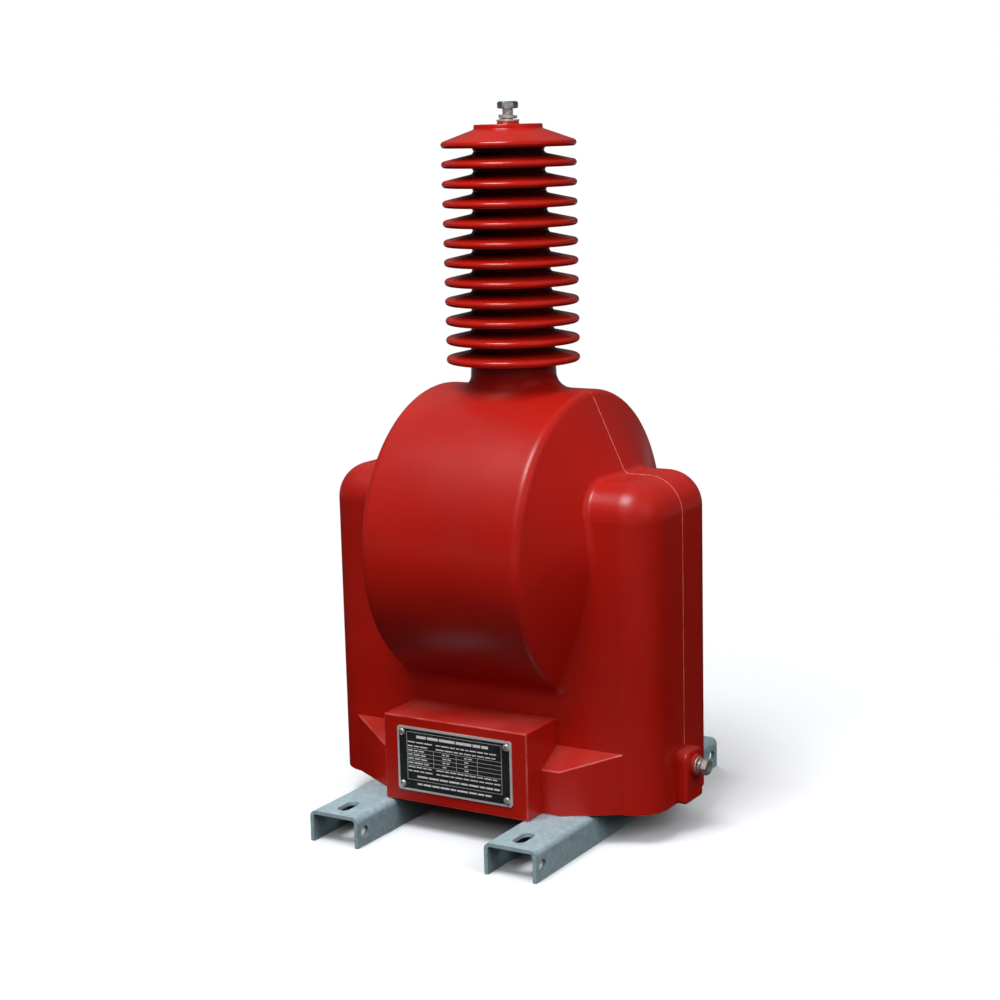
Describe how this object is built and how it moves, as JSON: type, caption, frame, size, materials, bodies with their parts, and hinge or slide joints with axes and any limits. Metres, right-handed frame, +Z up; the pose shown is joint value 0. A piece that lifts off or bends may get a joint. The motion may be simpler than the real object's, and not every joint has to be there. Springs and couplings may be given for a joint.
{
  "type": "outdoor instrument transformer",
  "caption": "Cast-resin outdoor voltage transformer with ribbed bushing, drum-shaped coil housing, earth terminal, rear terminal chamber and slotted channel rails.",
  "frame": {"origin": "on the ground, straight below the bushing axis, midway between the rails", "axes": "+Z up along the bushing, +X towards the earth terminal, -Y towards the rating plate"},
  "size_m": [0.4235, 0.42, 0.7607],
  "materials": {
    "resin": "satin cast resin",
    "zinc_plate": "hot-dip galvanised",
    "fastener_steel": "stainless",
    "brass": "machined",
    "copper": "enamelled wire",
    "core_steel": "wound strip",
    "board": "glass board",
    "rubber": "moulded",
    "plate": "printed plate"
  },
  "bodies": {
    "root": {"resin_body": "resin", "rail_left": "zinc_plate", "rail_right": "zinc_plate", "terminal_cover": "zinc_plate", "core_band": "zinc_plate", "hv_bolt": "fastener_steel", "hv_spring_washer": "fastener_steel", "hv_flat_washer": "fastener_steel", "earth_bolt": "fastener_steel", "earth_spring_washer": "fastener_steel", "earth_flat_washer": "fastener_steel", "nameplate_screws": "fastener_steel", "cover_screws": "fastener_steel", "rail_bolts": "fastener_steel", "rail_spring_washers": "fastener_steel", "rail_flat_washers": "fastener_steel", "hv_insert": "brass", "earth_insert": "brass", "terminal_studs": "brass", "terminal_washers": "brass", "terminal_nuts": "brass", "cover_inserts": "brass", "base_inserts": "brass", "gland_body": "brass", "gland_nut": "brass", "hv_lead": "copper", "hv_shield": "copper", "primary_winding": "copper", "residual_winding": "copper", "secondary_winding": "copper", "core_earth_lead": "copper", "core_half_left": "core_steel", "core_half_right": "core_steel", "coil_former": "board", "cover_gasket": "rubber", "gland_plug": "rubber", "nameplate": "plate"}
  },
  "joints": []
}
